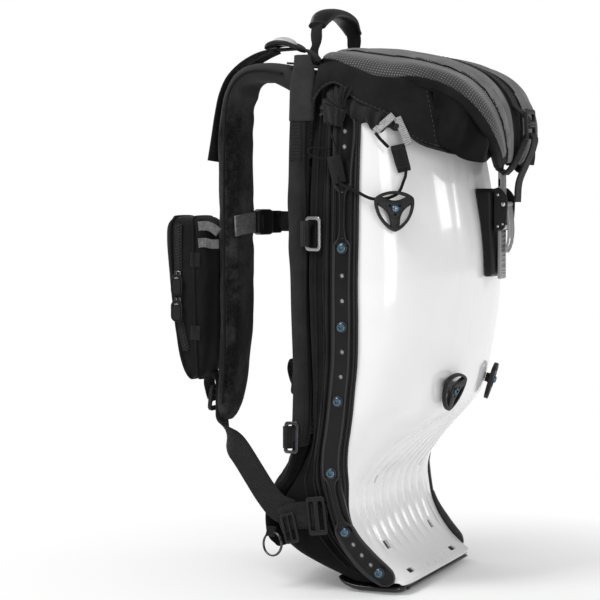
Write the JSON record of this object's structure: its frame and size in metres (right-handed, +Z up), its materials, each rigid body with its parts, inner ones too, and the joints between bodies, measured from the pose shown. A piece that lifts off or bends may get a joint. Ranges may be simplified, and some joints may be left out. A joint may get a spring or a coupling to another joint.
{
  "type": "hard-shell ski backpack",
  "caption": "Hard-shell snow sports backpack with side rails, cord hooks, a padded ratchet-strap lid, a padded back and a shoulder harness with a zip pouch.",
  "frame": {"origin": "centre of the foot's flat underside below the rail line, where the pack touches the ground", "axes": "+Z up, +Y towards the wearer, -Y the outer face of the shell, +X the wearer's right"},
  "size_m": [0.3018, 0.3371, 0.5585],
  "materials": {
    "gloss_white": "high-gloss moulded shell",
    "black_plastic": "moulded, fine satin",
    "black_rubber": "matt rubber",
    "grey_plastic": "moulded, matt",
    "blue_steel": "blue-zinc socket screws",
    "black_steel": "black oxide",
    "satin_steel": "satin",
    "black_fabric": "coated woven nylon",
    "black_webbing": "ribbed webbing",
    "grey_fabric": "padded mesh and woven fabric",
    "grey_webbing": "ribbed webbing",
    "black_mesh": "air mesh over foam"
  },
  "bodies": {
    "pack": {"shell": "gloss_white", "base_foot": "black_rubber", "rail_left": "black_plastic", "rail_right": "black_plastic", "rail_bolts_left": "blue_steel", "rail_bolts_right": "blue_steel", "back_frame": "black_plastic", "pack_body": "black_fabric", "back_pad": "black_mesh", "lumbar_pad": "black_fabric", "collar": "black_fabric", "hook_upper_left": "black_plastic", "hook_upper_right": "black_plastic", "hook_lower_left": "black_plastic", "hook_lower_right": "black_plastic", "screw_upper_left": "blue_steel", "screw_upper_right": "blue_steel", "screw_lower_left": "blue_steel", "screw_lower_right": "blue_steel", "cord_tab_front_left": "black_webbing", "cord_tab_front_right": "black_webbing", "cord_tab_rear_left": "black_webbing", "cord_tab_rear_right": "black_webbing", "elastic_cord_left": "black_webbing", "elastic_cord_right": "black_webbing", "latch_block": "black_rubber", "buckle_frame": "black_plastic"},
    "lid_assembly": {"lid": "grey_fabric", "lid_wing_left": "black_fabric", "lid_wing_right": "black_fabric", "lid_ladder_lock": "black_plastic"},
    "closure_strap": {"closure_webbing": "black_webbing", "ladder_strap": "grey_plastic"},
    "lever": {"ratchet_lever": "grey_plastic"},
    "pawl": {"ratchet_pawl": "satin_steel"},
    "harness": {"shoulder_pad_left": "black_fabric", "shoulder_pad_right": "black_fabric", "load_lifter_left": "grey_webbing", "load_lifter_right": "grey_webbing", "lifter_buckle_left": "black_plastic", "lifter_buckle_right": "black_plastic", "lower_webbing_left": "black_webbing", "lower_webbing_right": "black_webbing", "strap_lock_left": "black_plastic", "strap_lock_right": "black_plastic", "sternum_band_left": "grey_webbing", "sternum_female": "black_plastic", "pouch": "black_fabric"},
    "sternum_plug": {"sternum_male": "black_plastic", "sternum_web_right": "black_webbing"},
    "slider_upper": {"zip_slider_upper": "satin_steel"},
    "slider_lower": {"zip_slider_lower": "satin_steel"},
    "pull_upper": {"zip_pull_upper": "black_rubber"},
    "pull_lower": {"zip_pull_lower": "black_rubber"},
    "handle": {"handle_grip": "black_rubber", "handle_webbing": "black_webbing"},
    "ring_left": {"side_ring_left": "satin_steel"},
    "ring_right": {"side_ring_right": "satin_steel"},
    "split_left": {"split_ring_left": "black_steel"},
    "split_right": {"split_ring_right": "black_steel"}
  },
  "joints": [
    {"name": "lid_hinge", "type": "hinge", "parent": "pack", "child": "lid_assembly", "pos_m": [0, 0.038, 0.504], "axis": [-1, 0, 0], "range_deg": [0, 95], "deforming": ["closure_webbing", "ladder_strap"]},
    {"name": "closure_swing", "type": "hinge", "parent": "lid_assembly", "child": "closure_strap", "pos_m": [0, -0.132, 0.427], "axis": [-1, 0, 0], "range_deg": [-20, 0]},
    {"name": "ratchet_lever_hinge", "type": "hinge", "parent": "pack", "child": "lever", "pos_m": [0, -0.11, 0.364], "axis": [-1, 0, 0], "range_deg": [0, 70]},
    {"name": "pawl_hinge", "type": "hinge", "parent": "pack", "child": "pawl", "pos_m": [0, -0.1098, 0.345], "axis": [-1, 0, 0], "range_deg": [0, 18]},
    {"name": "harness_swing", "type": "hinge", "parent": "pack", "child": "harness", "pos_m": [0, 0.062, 0.495], "axis": [1, 0, 0], "range_deg": [-3, 12], "deforming": ["load_lifter_left", "load_lifter_right", "lower_webbing_left", "lower_webbing_right"]},
    {"name": "sternum_release", "type": "slide", "parent": "harness", "child": "sternum_plug", "axis": [0.9766, -0.2149, 0], "range_m": [0, 0.022], "deforming": ["sternum_web_right"]},
    {"name": "zip_upper_slide", "type": "slide", "parent": "harness", "child": "slider_upper", "axis": [0, 0, 1], "range_m": [0, 0.035]},
    {"name": "zip_lower_slide", "type": "slide", "parent": "harness", "child": "slider_lower", "axis": [0, 0, 1], "range_m": [-0.04, 0]},
    {"name": "zip_pull_upper_hinge", "type": "hinge", "parent": "slider_upper", "child": "pull_upper", "pos_m": [-0.1248, 0.181, 0.296], "axis": [0, 1, 0], "range_deg": [0, 80]},
    {"name": "zip_pull_lower_hinge", "type": "hinge", "parent": "slider_lower", "child": "pull_lower", "pos_m": [-0.1248, 0.181, 0.271], "axis": [0, 1, 0], "range_deg": [0, 80]},
    {"name": "handle_hinge", "type": "hinge", "parent": "pack", "child": "handle", "pos_m": [0, 0.066, 0.499], "axis": [1, 0, 0], "range_deg": [-45, 6]},
    {"name": "side_ring_left_hinge", "type": "hinge", "parent": "pack", "child": "ring_left", "pos_m": [-0.135, 0.0426, 0.337], "axis": [0, 0, -1], "range_deg": [0, 70]},
    {"name": "side_ring_right_hinge", "type": "hinge", "parent": "pack", "child": "ring_right", "pos_m": [0.135, 0.0426, 0.337], "axis": [0, 0, 1], "range_deg": [0, 70]},
    {"name": "split_ring_left_hinge", "type": "hinge", "parent": "pack", "child": "split_left", "pos_m": [-0.1195, 0.084, 0.054], "axis": [0.304, 0.9527, 0], "range_deg": [0, 70]},
    {"name": "split_ring_right_hinge", "type": "hinge", "parent": "pack", "child": "split_right", "pos_m": [0.1195, 0.084, 0.054], "axis": [0.304, -0.9527, 0], "range_deg": [0, 70]}
  ],
  "couplings": [
    {"joint": "closure_swing", "follows": "lid_hinge", "ratio": -0.2}
  ]
}
